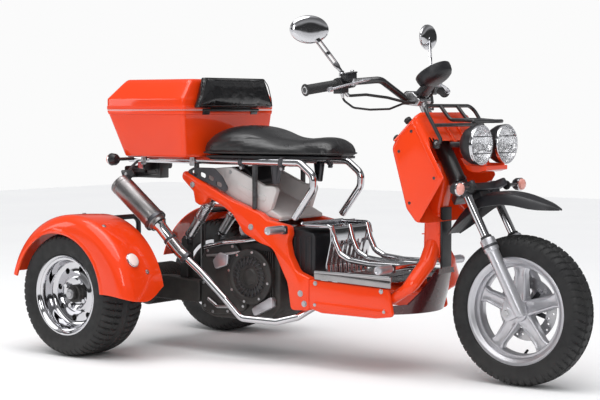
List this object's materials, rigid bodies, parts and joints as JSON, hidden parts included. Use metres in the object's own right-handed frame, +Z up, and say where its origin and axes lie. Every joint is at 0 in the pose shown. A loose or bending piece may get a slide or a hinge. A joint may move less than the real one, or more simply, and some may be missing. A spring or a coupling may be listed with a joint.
{
  "type": "motorized trike",
  "caption": "Scooter-style motorized trike with a steered front wheel, two fendered driven wheels, a long padded seat, a rear top case with a backrest, and twin headlights.",
  "frame": {"origin": "on the ground under the middle of the vehicle's box", "axes": "+X forward, towards the front wheel; +Y to the rider's left; +Z up"},
  "size_m": [2.0063, 1, 1.142],
  "materials": {
    "orange_paint": "gloss",
    "black_paint": "satin",
    "black_plastic": "grained",
    "chrome": "polished",
    "aluminium": "satin",
    "rubber": "matte",
    "tyre": "matte",
    "vinyl": "soft gloss",
    "grey_plastic": "satin",
    "clear_lens": "clear",
    "red_lens": "clear",
    "signal_lens": "clear",
    "white_lens": "frosted",
    "engine_black": "cast",
    "steel": "brushed"
  },
  "bodies": {
    "chassis": {"rear_axle": "black_paint", "rear_shocks": "chrome", "engine_block": "engine_black", "muffler": "chrome", "exhaust_pipe": "chrome", "rear_fender_left": "orange_paint", "rear_fender_right": "orange_paint", "fender_lamps": "white_lens", "frame_side_left": "orange_paint", "frame_side_right": "orange_paint", "frame_braces": "black_paint", "seat_rails": "chrome", "case_carrier": "black_paint", "fender_stays": "black_paint", "seat": "vinyl", "seat_pan": "black_plastic", "underseat_panel": "grey_plastic", "case_tub": "orange_paint", "tail_light": "red_lens", "plate_bracket": "black_paint", "rear_signals": "signal_lens", "battery_box": "black_plastic", "chrome_platform": "chrome", "floor_deck": "aluminium", "side_panels": "orange_paint", "front_frame": "orange_paint", "front_cover": "orange_paint", "nose_panel": "orange_paint", "headlight_shells": "black_plastic", "headlight_lenses": "clear_lens", "front_rack": "black_paint", "splash_guard": "black_plastic", "foot_pegs": "aluminium"},
    "top_case_lid": {"case_lid": "orange_paint", "backrest_pad": "vinyl"},
    "steering": {"steering_stem": "steel", "fork_legs": "aluminium", "front_fender": "black_plastic", "handlebar": "black_paint", "grips": "rubber", "lever_perches": "black_paint", "gauge_pod": "black_plastic", "mirrors": "chrome", "front_signals": "signal_lens", "control_cables": "rubber"},
    "front_wheel": {"front_tyre": "tyre", "front_rim": "aluminium", "front_brake_disc": "steel"},
    "rear_left_wheel": {"rear_left_tyre": "tyre", "rear_left_rim": "chrome"},
    "rear_right_wheel": {"rear_right_tyre": "tyre", "rear_right_rim": "chrome"}
  },
  "joints": [
    {"name": "steering_turn", "type": "hinge", "parent": "chassis", "child": "steering", "pos_m": [0.54623, 0, 0.61], "axis": [-0.4772, 0, 0.8788], "range_deg": [-35, 35]},
    {"name": "front_wheel_spin", "type": "hinge", "parent": "steering", "child": "front_wheel", "pos_m": [0.77023, 0, 0.233], "axis": [0, 1, 0], "continuous": true},
    {"name": "rear_left_wheel_spin", "type": "hinge", "parent": "chassis", "child": "rear_left_wheel", "pos_m": [-0.73977, 0.394, 0.215], "axis": [0, 1, 0], "continuous": true},
    {"name": "rear_right_wheel_spin", "type": "hinge", "parent": "chassis", "child": "rear_right_wheel", "pos_m": [-0.73977, -0.394, 0.215], "axis": [0, 1, 0], "continuous": true},
    {"name": "case_lid_swing", "type": "hinge", "parent": "chassis", "child": "top_case_lid", "pos_m": [-0.39477, 0, 0.8476], "axis": [0, 1, 0], "range_deg": [0, 60]}
  ]
}
